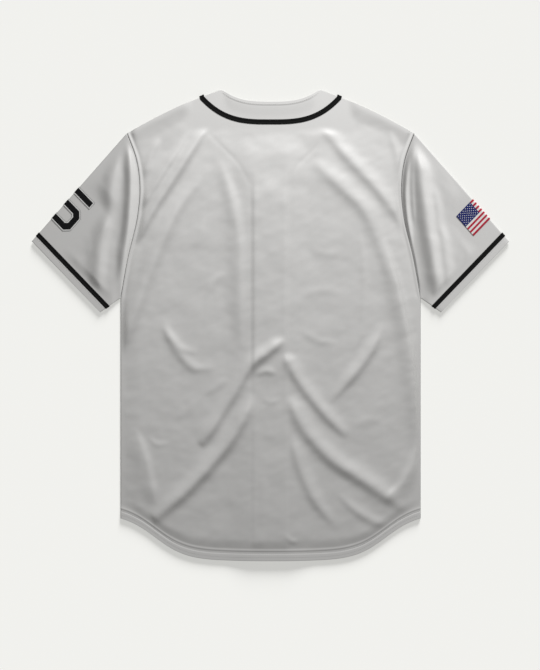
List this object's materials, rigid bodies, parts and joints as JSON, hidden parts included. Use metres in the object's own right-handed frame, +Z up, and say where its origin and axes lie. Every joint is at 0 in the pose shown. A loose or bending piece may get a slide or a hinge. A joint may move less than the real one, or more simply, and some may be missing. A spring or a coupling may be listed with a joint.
{
  "type": "baseball jersey",
  "caption": "Short-sleeved button-front baseball jersey lying flat and face down, with braid at the neck and sleeves, a sleeve numeral and a flag patch.",
  "frame": {"origin": "middle of the jersey on the surface that it lies on", "axes": "+Z up from the surface, +Y towards the neck, +X towards the wearer's right sleeve"},
  "size_m": [0.8206, 0.8099, 0.0189],
  "materials": {
    "jersey_knit": "light grey polyester knit with a soft sheen",
    "braid": "black two-rib woven braid",
    "numeral_twill": "black twill with a thin white inline",
    "flag_cloth": "red, white and blue embroidered cloth",
    "button": "satin grey four-hole shirt button"
  },
  "bodies": {
    "root": {"back": "jersey_knit", "front_left": "jersey_knit", "front_right": "jersey_knit", "sleeve_left": "jersey_knit", "sleeve_right": "jersey_knit", "neck_braid": "braid", "sleeve_braid_left": "braid", "sleeve_braid_right": "braid", "sleeve_number": "numeral_twill", "flag_patch": "flag_cloth", "button_1": "button", "button_2": "button", "button_3": "button", "button_4": "button", "button_5": "button", "button_6": "button"}
  },
  "joints": []
}
